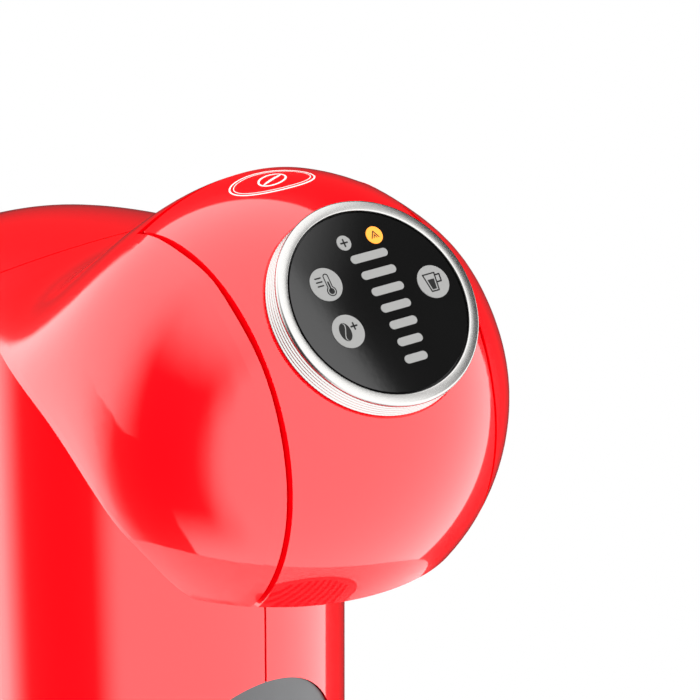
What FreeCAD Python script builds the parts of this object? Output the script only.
import FreeCAD, Part
import math
import os
import re
from FreeCAD import Placement, Rotation, Vector

# Pod coffee machine: round head on a pillar, water tank at the back, drip tray in front.
# Millimetres, +Z up, front towards -Y, origin under the middle of the bounding box.
# Names ending in _up are heights above the floor; names ending in _back lie behind the head's centre.

DOC = FreeCAD.newDocument("pod_coffee_machine")
SHEET = DOC.addObject("Spreadsheet::Sheet", "sizes")
SIZES = {
    # head and hood
    "head_radius": 56.5, "head_up": 214.6, "head_forward": 49, "head_cut": 34.4, "shell_wall": 2.5,
    "seam_half": 30.2, "seam_gap": 1.2, "cover_back": 12.5, "rim_gap": 1.5, "neck_crest": 23.7,
    "lid_crest": 14.8, "edge_up": 9, "hinge_back": -0.1, "hinge_above": 49, "pin_radius": 1.2,
    "pin_half": 17, "barrel_half": 12,
    "run_gap": 0.05, "part_gap": 0.4, "drum_radius": 36.2, "drum_wall": 2,
    # control panel
    "panel_tilt": 43.4, "ring_face": 57.3, "ring_radius": 26.2, "ring_depth": 7.1, "ring_wall": 2.8,
    "glass_thick": 1.6, "ink_thick": 0.15, "panel_depth": 11, "board_thick": 1.6,
    # capsule drawer
    "drawer_half": 28.7, "drawer_top": 6, "drawer_floor": 2, "capsule_radius": 26.6, "capsule_forward": 3,
    "outlet_radius": 12,
    # pillar and base
    "pillar_radius": 48.4, "pillar_back": 6, "arch_half": 26.5, "arch_drop": 80.5, "arch_low_up": 14,
    "guide_thick": 3, "slot_half": 4, "skirt_up": 22, "base_thick": 5, "base_gap_up": 2, "foot_radius": 7,
    "foot_inset": 17,
    # water tank and lid
    "rear_reach": 144, "nose_radius": 43, "nose_back": 110, "step_back": 111, "tank_gap": 1.2,
    "tank_wall": 2.2, "tank_low_up": 25, "tank_rim_up": 206, "lid_wall": 2.2, "valve_radius": 7,
    "socket_radius": 9.5, "socket_depth": 10, "cradle_wall": 2,
    # pump set
    "pump_radius": 17, "pump_low_up": 62, "pump_height": 84, "hose_radius": 2.5, "heater_radius": 20,
    "heater_height": 22,
    # drip tray
    "tray_radius": 49, "tray_reach": 143.6, "tray_low_up": 3, "tray_height": 30, "tray_wall": 2.2,
    "grid_thick": 3, "grid_slot": 4,
}
for row, (alias, value) in enumerate(SIZES.items(), start=1):
    SHEET.set("A%d" % row, alias)
    SHEET.set("B%d" % row, str(value))
    SHEET.setAlias("B%d" % row, alias)
DOC.recompute()
G = {alias: float(SHEET.get(alias)) for alias in SIZES}

NODES = {}                     # node name -> document object
HEAD = Vector(0, -G["head_forward"], G["head_up"])
FAR = 4 * G["rear_reach"]      # a length longer than the machine, for cutting blocks

# fits and small fixed sizes
CLIP_GAP = 0.3        # between parts clipped together: side panels, base, lid rim
RING_GAP = 0.3        # between the turning ring and its recess
DRUM_GAP = 0.6        # drawer inside the drum
GLASS_SUNK = 0.4      # glass below the ring's face
BARREL_RADIUS = 2.4   # cover's hinge barrel
KNUCKLE_RADIUS = 2.2  # lid's hinge knuckles
KNUCKLE_ROOM = 2.7    # space cleared for the knuckles
LID_PIN_RADIUS = 1
LID_PIN_HOLE = 1.05
PLATE_LIP = 1.3       # head's bottom plate shows this much below the cut
PLATE_THICK = 1.8
MIDDLE_SEAM = 0.3     # half of the seam between the side panels


# ---------------------------------------------------------------- helpers
def linked(text):
    """An expression with each size's name pointed at the sheet."""
    return re.sub(r"\b([a-z]+_[a-z_]+)\b", r"sizes.\1", text)


def primitive(kind, name, sizes, place=("0", "0", "0"), turn=Rotation()):
    """A Part primitive whose sizes and place follow the sheet."""
    piece = DOC.addObject("Part::" + kind, name)
    for prop, text in sizes.items():
        piece.setExpression(prop, linked(text))
    piece.Placement.Rotation = turn
    for axis, text in zip("xyz", place):
        piece.setExpression("Placement.Base." + axis, linked(text))
    return piece


def rod(name, radius, height, place, turn=Rotation()):
    return primitive("Cylinder", name, {"Radius": radius, "Height": height}, place, turn)


def block(name, length, width, height, place):
    return primitive("Box", name, {"Length": length, "Width": width, "Height": height}, place)


def minus(name, base, tool):
    piece = DOC.addObject("Part::Cut", name)
    piece.Base, piece.Tool = base, tool
    return piece


def plus(name, shapes):
    piece = DOC.addObject("Part::MultiFuse", name)
    piece.Shapes = shapes
    return piece


def node(name, piece):
    """Record a finished sub-part under its node name."""
    piece.Label = name
    NODES[name] = piece
    return piece


def shaped(name, shape):
    """A sub-part whose form needs Part's own functions."""
    piece = DOC.addObject("Part::Feature", name)
    piece.Shape = shape
    return node(name, piece)


def at_head(shape):
    """Move a shape drawn about the head's centre to where the head stands."""
    moved = shape.copy()
    moved.translate(HEAD)
    return moved


def tube(radius, height, base, axis=Vector(0, 0, 1), bore=0.0):
    solid = Part.makeCylinder(radius, height, base, axis)
    if bore:
        solid = solid.cut(Part.makeCylinder(bore, height, base, axis))
    return solid


def slab(x0, x1, y0, y1, z0, z1):
    return Part.makeBox(x1 - x0, y1 - y0, z1 - z0, Vector(x0, y0, z0))


def across(profile, half):
    """A closed side profile (y, z), drawn about the head's centre, widened to half on both sides."""
    face = Part.Face(profile)
    face.translate(Vector(-half, 0, 0))
    return face.extrude(Vector(2 * half, 0, 0))


def bent_tube(points, radius, bend):
    """A hose along straight runs joined by tangent arcs."""
    edges = []
    start = points[0]
    for before, corner, after in zip(points, points[1:], points[2:]):
        into = (corner - before).normalize()
        out = (after - corner).normalize()
        half = into.getAngle(out) / 2
        reach = bend * math.tan(half)
        first, last = corner - into * reach, corner + out * reach
        inward = (out - into).normalize()
        middle = corner + inward * (bend / math.cos(half) - bend)
        edges.append(Part.LineSegment(start, first).toShape())
        edges.append(Part.Arc(first, middle, last).toShape())
        start = last
    edges.append(Part.LineSegment(start, points[-1]).toShape())
    path = Part.Wire(edges)
    ring = Part.Wire(Part.Circle(points[0], (points[1] - points[0]).normalize(), radius).toShape())
    return path.makePipeShell([ring], True, False)


def stadium(front_back, radius, low, high, shrink=0.0):
    """The pillar's plan as a solid between two heights; front_back is behind the head's centre."""
    front = front_back - G["head_forward"] + G["pillar_radius"]
    rear = G["rear_reach"] - G["pillar_radius"]
    r = radius - shrink
    left, right = Vector(-r, 0, 0), Vector(r, 0, 0)
    f, b = Vector(0, front, 0), Vector(0, rear, 0)
    wire = Part.Wire([
        Part.Arc(f + left, f + Vector(0, -r, 0), f + right).toShape(),
        Part.LineSegment(f + right, b + right).toShape(),
        Part.Arc(b + right, b + Vector(0, r, 0), b + left).toShape(),
        Part.LineSegment(b + left, f + left).toShape()])
    solid = Part.Face(wire).extrude(Vector(0, 0, high - low))
    solid.translate(Vector(0, 0, low))
    return solid


# ---------------------------------------------------------------- outer skin
# Behind the head's centre the skin is lofted through egg-shaped sections:
# place behind the centre, crest height, half width, height of the widest line (all at full size).
REAR_SPAN = G["rear_reach"] + G["head_forward"]
NECK = [(0.062, 0.977, 0.998, 0.5), (0.124, 0.841, 0.991, 0.5), (0.187, 0.646, 0.973, 0.0)]


def neck_stations():
    """Sections from the sphere's back half to the tail of the lid."""
    r, crest, pillar = G["head_radius"], G["neck_crest"], G["pillar_radius"]
    lid = G["lid_crest"]
    stations = [(share * REAR_SPAN, high * r, wide * r, centre) for share, high, wide, centre in NECK]
    stations += [
        (0.249 * REAR_SPAN, crest + 4.3, pillar + 5.1, -1.5),
        (0.311 * REAR_SPAN, crest, pillar + 3.6, -4),
        (0.373 * REAR_SPAN, lid + 6.9, pillar + 2.8, -8),
        (0.466 * REAR_SPAN, lid + 4.2, pillar + 2, -13),
        (0.570 * REAR_SPAN, lid, pillar + 1.4, -20),
        (0.674 * REAR_SPAN, lid - 6.9, pillar + 1.1, -28),
        (0.777 * REAR_SPAN, lid - 16.4, pillar + 0.4, -38),
        (0.881 * REAR_SPAN, lid - 31.4, pillar - 4.4, -52),
        (0.964 * REAR_SPAN, lid - 55, 0.58 * pillar, -74)]
    return stations


def section(y, crest, half, centre):
    """One closed egg section across the machine."""
    points = []
    count = 24
    for step in range(count):
        angle = 2 * math.pi * step / count
        points.append(Vector(half * math.cos(angle), y, centre + (crest - centre) * math.sin(angle)))
    curve = Part.BSplineCurve()
    curve.interpolate(points, PeriodicFlag=True)
    return Part.Wire(curve.toShape())


def skin(inset):
    """The whole outer form, drawn in by inset, about the head's centre."""
    r = G["head_radius"] - inset
    wires = []
    for share in (-0.93, -0.8, -0.6, -0.4, -0.2, 0.0):
        y = share * r
        wires.append(section(y, math.sqrt(r * r - y * y), math.sqrt(r * r - y * y), 0))
    for y, crest, half, centre in neck_stations():
        wires.append(section(y, crest - inset, half - inset, centre))
    return Part.makeLoft(wires, True, False)


def roof(inset):
    """Everything under the neck and lid skin behind the head's centre, drawn in by inset."""
    floor = -G["head_up"]
    wires = []
    stations = [(0, G["head_radius"], G["head_radius"], 0)] + neck_stations()
    stations += [(REAR_SPAN + 1, G["lid_crest"] - 110, 0.3 * G["pillar_radius"], -112)]
    for y, crest, half, centre in stations:
        half, crest = max(half, 1.06 * G["pillar_radius"]) - inset, crest - inset
        arch_points = []
        for step in range(13):
            angle = math.pi * step / 12
            height = centre + (crest - centre) * math.sin(angle)
            arch_points.append(Vector(half * math.cos(angle), y, height))
        curve = Part.BSplineCurve()
        curve.interpolate(arch_points)
        left, right = Vector(-half, y, floor), Vector(half, y, floor)
        edges = [curve.toShape(), Part.LineSegment(arch_points[-1], left).toShape(),
                 Part.LineSegment(left, right).toShape(), Part.LineSegment(right, arch_points[0]).toShape()]
        wires.append(Part.Wire(edges))
    return Part.makeLoft(wires, True, False)


def edge_curve(lift):
    """The hood's lower edge in side view, from the head's flat bottom back to the lid, raised by lift."""
    cut, top = G["head_cut"], G["edge_up"]
    points = [(-22, -cut - 1), (-18.8, 0.87 * -cut), (-16.4, 0.69 * -cut), (-10.4, 0.48 * -cut)]
    points += [(-5, 0.3 * -cut), (9.7, 0.045 * top), (22.8, 0.62 * top), (42, top), (62, top)]
    curve = Part.BSplineCurve()
    curve.interpolate([Vector(0, y, z + lift) for y, z in points])
    return curve


def above_edge(lift, back, high):
    """Side-view region above the hood's lower edge, as a solid across the machine."""
    curve = edge_curve(lift)
    first, last = curve.value(curve.FirstParameter), curve.value(curve.LastParameter)
    low = Vector(0, back, G["edge_up"] - 12 + lift)
    corners = [last, low, Vector(0, back, high), Vector(0, -FAR, high), Vector(0, -FAR, first.z), first]
    edges = [curve.toShape()]
    edges += [Part.LineSegment(a, b).toShape() for a, b in zip(corners, corners[1:])]
    return across(Part.Wire(edges), FAR / 2)


def lid_plan(grow, low, high):
    """Plan of the tank's mouth: a round nose in the hood and the pillar's own rear, as a solid."""
    r = G["nose_radius"] + grow
    nose = tube(r, high - low, Vector(0, G["nose_back"], low))
    wide = G["pillar_radius"] + 10
    back = slab(-wide, wide, G["step_back"] + 0.6, FAR, low, high)
    return nose.fuse(back).removeSplitter()


OUTER = skin(0)
INNER = skin(G["shell_wall"])
HIGH = G["head_radius"] + 20
R = G["head_radius"]
COVER_HALF = G["seam_half"] - G["seam_gap"] / 2
CHEEK = G["seam_half"] + G["seam_gap"] / 2
RIM = G["cover_back"] + G["rim_gap"]
INSIDE_BACK = G["pillar_back"] + 2   # behind this the pillar's own walls hide the drum


def make_hood():
    """Red hood: head cheeks, neck and the rim round the tank's lid, with a turned-under lower lip."""
    region = above_edge(0, G["step_back"], HIGH)
    band = slab(-CHEEK, CHEEK, -FAR, RIM, -FAR, FAR)
    shell = OUTER.cut(INNER).common(region).cut(band)
    cheeks = OUTER.common(region).common(slab(-FAR, FAR, -FAR, RIM, -G["head_cut"], HIGH))
    wall = G["shell_wall"]
    left_wall = slab(-CHEEK - wall, -CHEEK, -FAR, FAR, -FAR, FAR)
    right_wall = slab(CHEEK, CHEEK + wall, -FAR, FAR, -FAR, FAR)
    cheeks = cheeks.common(left_wall.fuse(right_wall))
    under = OUTER.common(region).cut(above_edge(wall, G["step_back"], HIGH))
    under = under.cut(slab(-FAR, FAR, 0.93 * G["pillar_radius"], FAR, -FAR, FAR))
    under = under.cut(slab(-CHEEK, CHEEK, -FAR, FAR, -FAR, FAR))
    drum_room = tube(G["drum_radius"] + G["part_gap"], 2 * FAR, Vector(0, 0, -FAR))
    drum_room = drum_room.common(slab(-FAR, FAR, -FAR, INSIDE_BACK + 1, -FAR, FAR))
    hood = shell.fuse([cheeks, under.cut(drum_room)])
    hood = hood.cut(lid_plan(G["tank_gap"], -FAR, FAR))
    hood = hood.cut(slab(-FAR, FAR, -FAR, 0, -FAR, -G["head_cut"]))
    return at_head(largest(hood))


def largest(shape):
    """The main solid of a cut shape, without loose crumbs."""
    return max(shape.Solids, key=lambda solid: solid.Volume)


# ---------------------------------------------------------------- control panel frame
TILT = math.radians(G["panel_tilt"])
NORMAL = Vector(0, -math.cos(TILT), math.sin(TILT))
PANEL_UP = Vector(0, math.sin(TILT), math.cos(TILT))
RING_BORE = G["ring_radius"] - G["ring_wall"]
RING_LOW = G["ring_face"] - G["ring_depth"]
GLASS_TOP = G["ring_face"] - GLASS_SUNK


def on_panel(x, y, height):
    """A point of the panel, height above the head's centre along its normal."""
    return NORMAL * height + Vector(x, 0, 0) + PANEL_UP * y


def panel_disc(x, y, radius, low, thick, bore=0.0):
    return tube(radius, thick, on_panel(x, y, low), NORMAL, bore)


def panel_bar(x, y, length, width, low, thick):
    """A bar with round ends lying on the panel."""
    straight = length - width
    bar = Part.makeBox(straight, width, thick, Vector(-straight / 2, -width / 2, 0))
    for side in (-1, 1):
        bar = bar.fuse(Part.makeCylinder(width / 2, thick, Vector(side * straight / 2, 0, 0)))
    bar = bar.removeSplitter()
    bar.Placement = Placement(on_panel(x, y, low), Rotation(Vector(1, 0, 0), 90 - G["panel_tilt"]))
    return bar


shaped("hood", make_hood())

cover = Part.makeSphere(R).cut(Part.makeSphere(R - G["shell_wall"]))
cover = cover.common(slab(-COVER_HALF, COVER_HALF, -FAR, G["cover_back"], -G["head_cut"], FAR))
PIN_PLACE = Vector(0, G["hinge_back"], G["hinge_above"])
barrel_start = PIN_PLACE - Vector(G["barrel_half"], 0, 0)
barrel = tube(BARREL_RADIUS, 2 * G["barrel_half"], barrel_start, Vector(1, 0, 0))
barrel = barrel.fuse(slab(-G["barrel_half"], G["barrel_half"], G["hinge_back"] - 1.6, G["hinge_back"] + 1.6,
                          G["hinge_above"], R - 2))
pin_start = PIN_PLACE - Vector(G["pin_half"] + 0.5, 0, 0)
pin_room = 2 * G["pin_half"] + 1
cover = cover.fuse(barrel).cut(tube(G["pin_radius"] + G["run_gap"], pin_room, pin_start, Vector(1, 0, 0)))
cover = cover.cut(panel_disc(0, 0, RING_BORE + 1.6, 0, FAR))
cover = cover.cut(panel_disc(0, 0, G["ring_radius"] + RING_GAP, RING_LOW - RING_GAP, FAR))
shaped("front_cover", at_head(largest(cover)))
node("cover_hinge_pin", rod("hinge_rod", "pin_radius", "2 * pin_half", (
    "-pin_half", "hinge_back - head_forward", "head_up + hinge_above"), Rotation(Vector(0, 1, 0), 90)))
bar_high = G["hinge_above"] - 9
bracket = slab(-CHEEK, CHEEK, G["hinge_back"] - 10, G["hinge_back"] - 4, bar_high - 4, bar_high)
for side in (-1, 1):
    middle = side * (G["barrel_half"] + G["part_gap"] + 2)
    bracket = bracket.fuse(slab(middle - 2, middle + 2, G["hinge_back"] - 6, G["hinge_back"] + 2.2,
                                bar_high - 1, G["hinge_above"]))
    bracket = bracket.fuse(tube(2.2, 4, PIN_PLACE + Vector(middle - 2, 0, 0), Vector(1, 0, 0)))
bracket = bracket.cut(tube(G["pin_radius"], pin_room, pin_start, Vector(1, 0, 0)))
shaped("hinge_bracket", at_head(bracket.removeSplitter()))

ring = panel_disc(0, 0, G["ring_radius"], RING_LOW, G["ring_depth"], RING_BORE)
ring = ring.fuse(panel_disc(0, 0, RING_BORE + 1.2, RING_LOW - 4, 4, RING_BORE)).removeSplitter()
groove_pitch = G["ring_depth"] / 6
for step in range(1, 5):
    ring = ring.cut(panel_disc(0, 0, G["ring_radius"] + 1, RING_LOW + step * groove_pitch, 0.4,
                               G["ring_radius"] - 0.5))
shaped("selection_ring", at_head(ring))
shaped("ring_clip", at_head(panel_disc(0, 0, RING_BORE + 2.6, RING_LOW - 5, 1, RING_BORE)))

housing_low = GLASS_TOP - G["glass_thick"] - G["panel_depth"]
housing_radius = RING_BORE - 0.07
housing = panel_disc(0, 0, housing_radius, housing_low, G["panel_depth"])
housing = housing.cut(panel_disc(0, 0, housing_radius - 2, housing_low + 2, G["panel_depth"]))
shaped("panel_housing", at_head(housing))
glass_low = GLASS_TOP - G["glass_thick"]
shaped("panel_glass", at_head(panel_disc(0, 0, RING_BORE - 0.5, glass_low, G["glass_thick"])))
board_radius = housing_radius - 2.4
shaped("display_board", at_head(panel_disc(0, 0, board_radius, housing_low + 2, G["board_thick"])))
diffuser_low = housing_low + 2 + G["board_thick"]
shaped("light_diffuser", at_head(panel_disc(0, 0, board_radius, diffuser_low, glass_low - diffuser_low)))

# Seven level bars shorten downwards and bow gently to the right.
bars = []
BAR_COUNT, BAR_PITCH, BAR_WIDTH = 7, 4.45, 2.1
TOP_BAR_UP, TOP_BAR_LENGTH, BAR_SHORTER = 11.4, 10.5, 0.68
for step in range(BAR_COUNT):
    y = TOP_BAR_UP - BAR_PITCH * step
    x = 3.9 - 0.0055 * (y + 2) ** 2
    bars.append(panel_bar(x, y, TOP_BAR_LENGTH - BAR_SHORTER * step, BAR_WIDTH, GLASS_TOP, G["ink_thick"]))
shaped("level_bars", at_head(Part.makeCompound(bars)))
icons = {                      # across, up, radius
    "temperature_icon": (-11.5, 7.4, 4.2),
    "brew_icon": (-11.3, -4.9, 4.2),
    "cup_icon": (16.4, 1.2, 4.2),
    "size_icon": (-2.1, 16, 1.9),
    "ready_lamp": (6.7, 16, 2.2),
}
for name, (x, y, radius) in icons.items():
    shaped(name, at_head(panel_disc(x, y, radius, GLASS_TOP, G["ink_thick"])))


# ---------------------------------------------------------------- head's inside
CUT = -G["head_cut"]
drum_bore = G["drum_radius"] - G["drum_wall"]
plate = tube(drum_bore, PLATE_THICK + 0.3, Vector(0, 0, CUT - 0.3))
plate = plate.fuse(tube(G["drum_radius"], PLATE_LIP - 0.3, Vector(0, 0, CUT - PLATE_LIP)))
plate = plate.cut(tube(G["outlet_radius"], FAR, Vector(0, -G["capsule_forward"], -FAR)))
plate = plate.cut(slab(-FAR, FAR, INSIDE_BACK, FAR, -FAR, FAR))
# The lip stops where the hood's edge rises above it.
for near, far in ((-FAR, -CHEEK), (CHEEK, FAR)):
    plate = plate.cut(slab(near, far, -6, FAR, -FAR, CUT))
shaped("head_bottom_plate", at_head(plate.removeSplitter()))

drum_low = CUT + PLATE_THICK
drum_top = G["edge_up"] - 4
drum = tube(G["drum_radius"], drum_top - drum_low, Vector(0, 0, drum_low), bore=drum_bore)
window = G["drawer_half"] + 1
drum = drum.cut(slab(-window, window, -FAR, -5, -FAR, FAR))
drum = drum.common(Part.makeSphere(R - G["shell_wall"] - CLIP_GAP))
drum = drum.cut(slab(-FAR, FAR, INSIDE_BACK, FAR, -FAR, FAR))
shaped("head_frame", Part.makeCompound([side for side in at_head(drum).cut(NODES["hood"].Shape).Solids
                                        if side.Volume > 100]))

drawer_low = drum_low + G["part_gap"]
drawer_top = -G["drawer_top"]
drawer = slab(-G["drawer_half"], G["drawer_half"], -FAR, 30, drawer_low, drawer_top)
drawer = drawer.common(tube(drum_bore - DRUM_GAP, FAR, Vector(0, 0, -FAR / 2)).fuse(
    slab(-FAR, FAR, -FAR, -5, -FAR, FAR)))
drawer = drawer.common(tube(G["drawer_half"], FAR, Vector(0, -G["capsule_forward"], -FAR / 2)).fuse(
    slab(-FAR, FAR, -FAR, -G["capsule_forward"], -FAR, FAR)))
drawer = drawer.common(Part.makeSphere(R - G["shell_wall"] - 0.8))
well = Vector(0, -G["capsule_forward"], drawer_low + G["drawer_floor"])
drawer = drawer.cut(tube(G["capsule_radius"], FAR, well))
drawer = drawer.cut(tube(G["outlet_radius"], FAR, well - Vector(0, 0, 10)))
shaped("capsule_holder", at_head(largest(drawer)))

injector_low = drawer_top + G["part_gap"]
INJECTOR_THICK = 4
needle_foot = Vector(0, -G["capsule_forward"], injector_low)
injector = tube(24, INJECTOR_THICK, needle_foot)
injector = injector.fuse(tube(10, INJECTOR_THICK, needle_foot + Vector(0, 0, INJECTOR_THICK)))
injector = injector.cut(tube(1, FAR, Vector(0, -G["capsule_forward"], -FAR / 2)))
shaped("injector_plate", at_head(injector))
shaped("injector_needle", at_head(tube(0.95, 7.6, needle_foot, bore=0.4)))
heater_low = injector_low + 2 * INJECTOR_THICK
shaped("heating_block", at_head(tube(G["heater_radius"], G["heater_height"], Vector(0, 0, heater_low))))
shaped("thermal_fuse", at_head(slab(-5, 5, -6, 6, heater_low + G["heater_height"],
                                    heater_low + G["heater_height"] + 4)))


# ---------------------------------------------------------------- pillar
REAR_CENTRE = G["rear_reach"] - G["pillar_radius"]
STEP_Y = G["step_back"] - G["head_forward"]
PANEL_LOW = G["base_gap_up"]
pillar = stadium(G["pillar_back"], G["pillar_radius"], PANEL_LOW, G["head_up"] + 40)
hollow = stadium(G["pillar_back"], G["pillar_radius"], PANEL_LOW - 1, FAR, G["shell_wall"])
pillar = pillar.cut(hollow)
hood_zone = above_edge(-G["part_gap"], G["step_back"] + 2, FAR)
hood_zone.translate(HEAD)
pillar = pillar.cut(hood_zone)
head_room = Vector(0, -G["capsule_forward"], CUT - PLATE_LIP - G["part_gap"])
pillar = pillar.cut(tube(G["drawer_half"] + 1.1, FAR, HEAD + head_room))
pillar = pillar.cut(slab(-FAR, FAR, STEP_Y, FAR, G["skirt_up"], FAR))
INLET_UP = 13
inlet_hole = tube(5.8, 20, Vector(0, G["rear_reach"] - 10, INLET_UP), Vector(0, 1, 0))
ahead = slab(-FAR, FAR, -FAR, -G["head_forward"] + 1, 0, FAR)
pillar = pillar.cut(inlet_hole).common(at_head(roof(0)).fuse(ahead))


def arch(grow, depth):
    """Arch-topped window of the tray guide, cut from the front."""
    half = G["arch_half"] + grow
    top = G["head_up"] - G["arch_drop"] + grow
    low = G["arch_low_up"] - grow
    spring = top - 0.95 * half
    front = -FAR / 2
    a, b = Vector(-half, front, low), Vector(half, front, low)
    c, d = Vector(half, front, spring), Vector(-half, front, spring)
    dome = Part.BSplineCurve()
    crown = ((0.93, 0.67), (0.71, 0.33), (0.45, 0.12), (0, 0), (-0.45, 0.12), (-0.71, 0.33), (-0.93, 0.67))
    points = [Vector(across * half, front, top - drop * half) for across, drop in crown]
    dome.interpolate([c] + points + [d])
    wire = Part.Wire([Part.LineSegment(a, b).toShape(), Part.LineSegment(b, c).toShape(), dome.toShape(),
                      Part.LineSegment(d, a).toShape()])
    return Part.Face(wire).extrude(Vector(0, FAR / 2 + depth, 0))


FRONT_Y = G["pillar_back"] - G["head_forward"]
pillar = pillar.cut(arch(CLIP_GAP, 0))
for name, side in (("side_panel_left", -1), ("side_panel_right", 1)):
    near, far = sorted((side * MIDDLE_SEAM, side * FAR))
    keep = slab(near, far, -FAR, FAR, -FAR, FAR)
    shaped(name, largest(pillar.common(keep)))

GUIDE_SUNK = 0.8      # tray guide behind the pillar's face
guide = stadium(G["pillar_back"], G["pillar_radius"], 0, G["head_up"], GUIDE_SUNK)
guide = guide.cut(stadium(G["pillar_back"], G["pillar_radius"], -1, FAR, GUIDE_SUNK + G["guide_thick"]))
guide = guide.common(arch(0, 0))
slot_low = G["tray_low_up"] + 17
slot_top = G["head_up"] - G["arch_drop"] - 16
guide = guide.cut(slab(-G["slot_half"], G["slot_half"], -FAR, 0, slot_low, slot_top))
shaped("tray_guide_panel", largest(guide))

node("guide_backing", block("backing_box", "36", "1.5", "head_up - arch_drop - arch_low_up - 14",
                            ("-18", "pillar_back - head_forward + guide_thick + 5.2", "arch_low_up + 2")))

# The cradle is the curved wall between the pump and the tank.
cradle_out = G["nose_radius"] + G["tank_gap"] + G["cradle_wall"]
nose_y = G["nose_back"] - G["head_forward"]
cradle = tube(cradle_out, G["head_up"] - 2 - G["skirt_up"], Vector(0, nose_y, G["skirt_up"]),
              bore=cradle_out - G["cradle_wall"])
cradle = cradle.common(slab(-FAR, FAR, -FAR, STEP_Y - 14, -FAR, FAR))
shaped("tank_cradle", largest(cradle))

inside = stadium(G["pillar_back"], G["pillar_radius"], 0, FAR, G["shell_wall"] + CLIP_GAP)
shelf = slab(-FAR, FAR, 12, FAR, G["skirt_up"] - 3, G["skirt_up"]).common(inside)
SOCKET_Y = nose_y - 8
socket_place = Vector(0, SOCKET_Y, G["skirt_up"] - G["socket_depth"])
shelf = shelf.cut(tube(G["socket_radius"] + 0.05, FAR, Vector(0, SOCKET_Y, 0)))
shaped("tank_shelf", largest(shelf))
socket = tube(G["socket_radius"], G["socket_depth"], socket_place).cut(
    tube(G["valve_radius"] + 0.6, G["socket_depth"], socket_place + Vector(0, 0, 2)))
shaped("tank_socket", socket)


# ---------------------------------------------------------------- base
def base_plate():
    """Floor of the machine, padded from a stadium sketch."""
    body = DOC.addObject("PartDesign::Body", "base_plate_body")
    sketch = body.newObject("Sketcher::SketchObject", "base_outline")
    plane = [f for f in body.Origin.OriginFeatures if f.Role == "XY_Plane"][0]
    sketch.AttachmentSupport, sketch.MapMode = [(plane, "")], "FlatFace"
    r = G["pillar_radius"] - G["shell_wall"] - CLIP_GAP
    front = FRONT_Y + G["pillar_radius"]
    centre_f, centre_b = Vector(0, front, 0), Vector(0, REAR_CENTRE, 0)
    z = Vector(0, 0, 1)
    sketch.addGeometry(Part.ArcOfCircle(Part.Circle(centre_f, z, r), math.pi, 2 * math.pi))
    sketch.addGeometry(Part.LineSegment(Vector(r, front, 0), Vector(r, REAR_CENTRE, 0)))
    sketch.addGeometry(Part.ArcOfCircle(Part.Circle(centre_b, z, r), 0, math.pi))
    sketch.addGeometry(Part.LineSegment(Vector(-r, REAR_CENTRE, 0), Vector(-r, front, 0)))
    pad = body.newObject("PartDesign::Pad", "base_pad")
    pad.Profile = sketch
    pad.setExpression("Length", "sizes.base_thick")
    body.setExpression("Placement.Base.z", "sizes.base_gap_up")
    return body


node("base_plate", base_plate())

feet = []
for along, y in (("front", "pillar_back - head_forward + 2 * foot_inset"),
                 ("rear", "rear_reach - 2 * foot_inset")):
    for side, x in (("left", "-pillar_radius + foot_inset"), ("right", "pillar_radius - foot_inset")):
        feet.append(rod("foot_%s_%s" % (along, side), "foot_radius", "base_gap_up", (x, y, "0")))
group = DOC.addObject("Part::Compound", "feet_group")
group.Links = feet
node("rubber_feet", group)

backwards = Rotation(Vector(1, 0, 0), 90)
gland = plus("gland_join", [
    rod("gland_flange", "5.5", "3", ("0", "rear_reach", "13"), backwards),
    rod("gland_barrel", "4", "12", ("0", "rear_reach", "13"), backwards)])
cord_hole = rod("gland_hole", "3", "30", ("0", "rear_reach + 5", "13"), backwards)
node("power_inlet", minus("gland_cut", gland, cord_hole))


# ---------------------------------------------------------------- pump set
PUMP_Y = "pillar_back - head_forward + shell_wall + pump_radius + 9"
pump_y = FRONT_Y + G["shell_wall"] + G["pump_radius"] + 9
node("pump", plus("pump_join", [
    rod("pump_coil", "pump_radius", "pump_height * 0.6", ("0", PUMP_Y, "pump_low_up")),
    rod("pump_head", "pump_radius * 0.55", "pump_height", ("0", PUMP_Y, "pump_low_up"))]))
mounts = {"pump_mount_lower": "pump_low_up - 6", "pump_mount_upper": "pump_low_up + pump_height"}
for name, lift in mounts.items():
    node(name, rod(name + "_rod", "pump_radius * 0.7", "6", ("0", PUMP_Y, lift)))
node("pump_shelf", block("pump_shelf_box", "56", "30", "3", ("-28", PUMP_Y + " - 15", "pump_low_up - 9")))
node("flow_meter", rod("meter_rod", "11", "12", ("0", PUMP_Y, "base_gap_up + base_thick + 14")))
node("meter_stand", rod("meter_stand_rod", "5", "14", ("0", PUMP_Y, "base_gap_up + base_thick")))
node("power_board", block("board_box", "56", "2", "40",
                          ("-28", PUMP_Y + " + pump_radius + 3", "pump_low_up + 90")))
hose_r = G["hose_radius"]
hose_z = G["skirt_up"] - 6
hose_start = Vector(0, pump_y + 11, hose_z)
shaped("inlet_hose", tube(hose_r, SOCKET_Y - G["socket_radius"] - hose_start.y, hose_start, Vector(0, 1, 0)))
pump_top = G["pump_low_up"] + G["pump_height"] + 6
heater_z = G["head_up"] + heater_low + 8
shaped("pressure_hose", bent_tube([Vector(0, pump_y, pump_top), Vector(0, pump_y, heater_z),
                                   Vector(0, -G["head_forward"] + G["heater_radius"], heater_z)], hose_r, 8))


# ---------------------------------------------------------------- water tank
def tank_form(inset, low, high):
    """The tank's outside, drawn in by inset: nose in the cradle, wide rear behind the pillar."""
    nose = tube(G["nose_radius"] - inset, high - low, Vector(0, nose_y, low))
    rear = stadium(G["pillar_back"], G["pillar_radius"], low, high, inset)
    rear = rear.common(slab(-FAR, FAR, STEP_Y + G["tank_gap"] + inset, FAR, low, high))
    return nose.fuse(rear).removeSplitter()


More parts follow.
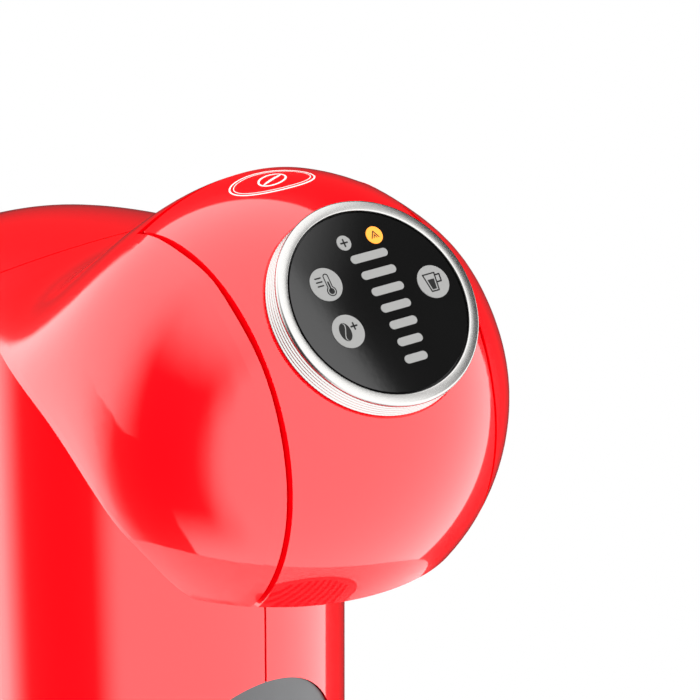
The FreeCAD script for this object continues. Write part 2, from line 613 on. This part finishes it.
RIM_UP = G["tank_rim_up"]
under_skin = at_head(roof(0))
inner_skin = at_head(roof(G["tank_wall"]))
outer = tank_form(0, G["tank_low_up"], RIM_UP).common(under_skin)
tank_inner = tank_form(G["tank_wall"], G["tank_low_up"] + G["tank_wall"], RIM_UP + 5).common(inner_skin)
tank = outer.cut(tank_inner)
tank = tank.cut(tube(G["valve_radius"] - 2, FAR, Vector(0, SOCKET_Y, 0)))
hinge_line = Part.makeLine(Vector(0, 60, RIM_UP), Vector(0, FAR, RIM_UP)).common(under_skin)
LID_PIN = Vector(0, hinge_line.BoundBox.YMax + 0.8, RIM_UP + 0.15)
ALONG = Vector(1, 0, 0)
knuckle_clear = tube(KNUCKLE_ROOM, 26, LID_PIN - ALONG * 13, ALONG)
tank = largest(tank).cut(knuckle_clear).fuse(tube(KNUCKLE_RADIUS, 12, LID_PIN - ALONG * 6, ALONG))
lug = slab(-6, 6, LID_PIN.y - 5, LID_PIN.y, RIM_UP - 5, RIM_UP).common(under_skin)
tank = tank.fuse(lug).cut(tube(LID_PIN_HOLE, FAR, LID_PIN - ALONG * FAR / 2, ALONG))
shaped("water_tank", largest(tank))
shaped("lid_hinge_pin", tube(LID_PIN_RADIUS, 25, LID_PIN - ALONG * 12.5, ALONG))

SOCKET_FLOOR = 2
valve_low = G["skirt_up"] - G["socket_depth"] + SOCKET_FLOOR + CLIP_GAP
body_high = G["tank_low_up"]
valve_body = tube(G["valve_radius"], body_high - valve_low, Vector(0, SOCKET_Y, valve_low))
valve_body = valve_body.fuse(tube(G["valve_radius"] - 2.05, 5, Vector(0, SOCKET_Y, body_high)))
valve_body = valve_body.cut(tube(2.6, FAR, Vector(0, SOCKET_Y, 0)))
shaped("tank_valve", valve_body.removeSplitter())
plunger = tube(2.5, body_high + 5.3 - valve_low, Vector(0, SOCKET_Y, valve_low)).fuse(
    tube(4, 1.5, Vector(0, SOCKET_Y, body_high + 5.3)))
shaped("valve_plunger", plunger.removeSplitter())
shaped("socket_seal", tube(G["valve_radius"] + 0.6, 1.6, Vector(0, SOCKET_Y, G["skirt_up"] - 1.6 - 1.2),
                           bore=G["valve_radius"] + 0.25))
filter_low = G["tank_low_up"] + G["tank_wall"]
strainer = tube(9, 15, Vector(0, SOCKET_Y, filter_low)).cut(tube(7.5, 13.5, Vector(0, SOCKET_Y, filter_low)))
shaped("tank_filter", strainer)
spring_low, spring_high = body_high + 6.8 + 0.4, filter_low + 13.1
coil = Part.makeHelix(1.6, spring_high - spring_low, 3)
wire_ring = Part.Wire(Part.Circle(Vector(3, 0, 0), Vector(0, 1, 0), 0.35).toShape())
coil = Part.Wire(coil).makePipeShell([wire_ring], True, True)
coil.translate(Vector(0, SOCKET_Y, spring_low))
shaped("valve_spring", coil)


# ---------------------------------------------------------------- tank lid
def make_lid():
    """Domed lid flush with the hood, with a skirt that drops into the tank."""
    low = RIM_UP + CLIP_GAP - G["head_up"]
    form = lid_plan(0.6, low, HIGH)
    dome = largest(OUTER.cut(skin(G["lid_wall"])).common(form))
    rim = OUTER.common(tank_form(0.4, RIM_UP + CLIP_GAP, RIM_UP + 40).translated(-HEAD))
    rim = rim.cut(tank_form(2.4, RIM_UP, RIM_UP + 41).translated(-HEAD))
    lid = largest(at_head(dome.fuse(rim)))
    lid = lid.cut(tube(KNUCKLE_ROOM, 12.8, LID_PIN - ALONG * 6.4, ALONG))
    for start in (-12, 6.4):
        web = slab(start, start + 5.6, LID_PIN.y - 4, LID_PIN.y, RIM_UP + CLIP_GAP, RIM_UP + KNUCKLE_RADIUS)
        lid = lid.fuse(tube(KNUCKLE_RADIUS, 5.6, LID_PIN + ALONG * start, ALONG))
        lid = lid.fuse(web.common(under_skin))
    return largest(lid.cut(tube(LID_PIN_HOLE, FAR, LID_PIN - ALONG * FAR / 2, ALONG)))


shaped("tank_lid", make_lid())


# ---------------------------------------------------------------- drip tray
TRAY_Y = G["tray_radius"] - G["tray_reach"]
tray_low, tray_high = G["tray_low_up"], G["tray_low_up"] + G["tray_height"]
tray = tube(G["tray_radius"], G["tray_height"], Vector(0, TRAY_Y, tray_low))
tray = tray.makeFillet(4, [edge for edge in tray.Edges if abs(edge.BoundBox.ZMax - tray_low) < 0.01
                           and edge.Closed])
tray = tray.cut(tube(G["tray_radius"] - G["tray_wall"], G["tray_height"],
                     Vector(0, TRAY_Y, tray_low + G["tray_wall"])))
tray_bore = G["tray_radius"] - G["tray_wall"]
ledge_low = tray_high - G["grid_thick"] - 2.4
ledge = tube(tray_bore + 0.1, 2, Vector(0, TRAY_Y, ledge_low), bore=tray_bore - 3)
tray = tray.fuse(ledge).cut(stadium(G["pillar_back"], G["pillar_radius"], -1, FAR, -0.5))
shaped("drip_tray", largest(tray.removeSplitter()))


def drip_grid():
    """Perforated grid: a disc sketch padded, then slots cut by a linear pattern."""
    body = DOC.addObject("PartDesign::Body", "drip_grid_body")
    plane = [f for f in body.Origin.OriginFeatures if f.Role == "XY_Plane"][0]
    disc = body.newObject("Sketcher::SketchObject", "grid_outline")
    disc.AttachmentSupport, disc.MapMode = [(plane, "")], "FlatFace"
    radius = G["tray_radius"] - G["tray_wall"] - G["part_gap"]
    disc.addGeometry(Part.Circle(Vector(0, 0, 0), Vector(0, 0, 1), radius))
    pad = body.newObject("PartDesign::Pad", "grid_pad")
    pad.Profile = disc
    pad.setExpression("Length", "sizes.grid_thick")
    DOC.recompute()
    slots = body.newObject("Sketcher::SketchObject", "grid_slots")
    slots.AttachmentSupport, slots.MapMode = [(plane, "")], "FlatFace"
    width, pitch = G["grid_slot"], 2 * G["grid_slot"]
    reach = radius - 5
    count = int((reach - width) // pitch)
    for step in range(-count, count + 1):
        x = step * pitch
        half = math.sqrt(reach * reach - (abs(x) + width / 2) ** 2)
        corners = [Vector(x - width / 2, -half, 0), Vector(x + width / 2, -half, 0),
                   Vector(x + width / 2, half, 0), Vector(x - width / 2, half, 0)]
        for a, b in zip(corners, corners[1:] + corners[:1]):
            slots.addGeometry(Part.LineSegment(a, b))
    pocket = body.newObject("PartDesign::Pocket", "grid_pocket")
    pocket.Profile = slots
    pocket.Type = "ThroughAll"
    pocket.Reversed = True
    return body


grid_body = drip_grid()
grid_body.setExpression("Placement.Base.y", linked("tray_radius - tray_reach"))
grid_body.setExpression("Placement.Base.z", linked("tray_low_up + tray_height - grid_thick - part_gap"))
node("drip_grid", grid_body)

guide_rear = FRONT_Y + GUIDE_SUNK + G["guide_thick"]
tongue_half = G["slot_half"] - G["part_gap"]
hook_half = G["slot_half"] + 4
hook_low = slot_low + 1
hook_high = hook_low + 10
hook = slab(-tongue_half, tongue_half, TRAY_Y + G["tray_radius"] - 3, guide_rear + 1.4, hook_low, hook_high)
hook = hook.fuse(slab(-hook_half, hook_half, guide_rear + 0.9, guide_rear + 3.4, hook_low, hook_high))
hook = hook.cut(tube(G["tray_radius"], FAR, Vector(0, TRAY_Y, 0)))
shaped("tray_hook", largest(hook.removeSplitter()))


# ---------------------------------------------------------------- check and write
DOC.recompute()
for thing in DOC.Objects:
    if "Invalid" in thing.State or "Error" in thing.State:
        raise RuntimeError("%s did not build" % thing.Name)
os.makedirs("parts", exist_ok=True)
for name, piece in NODES.items():
    shape = piece.Shape
    if shape.isNull() or not shape.isValid() or not shape.Solids:
        raise RuntimeError("%s is not a valid solid" % name)
    shape.exportStep("parts/%s.step" % name)
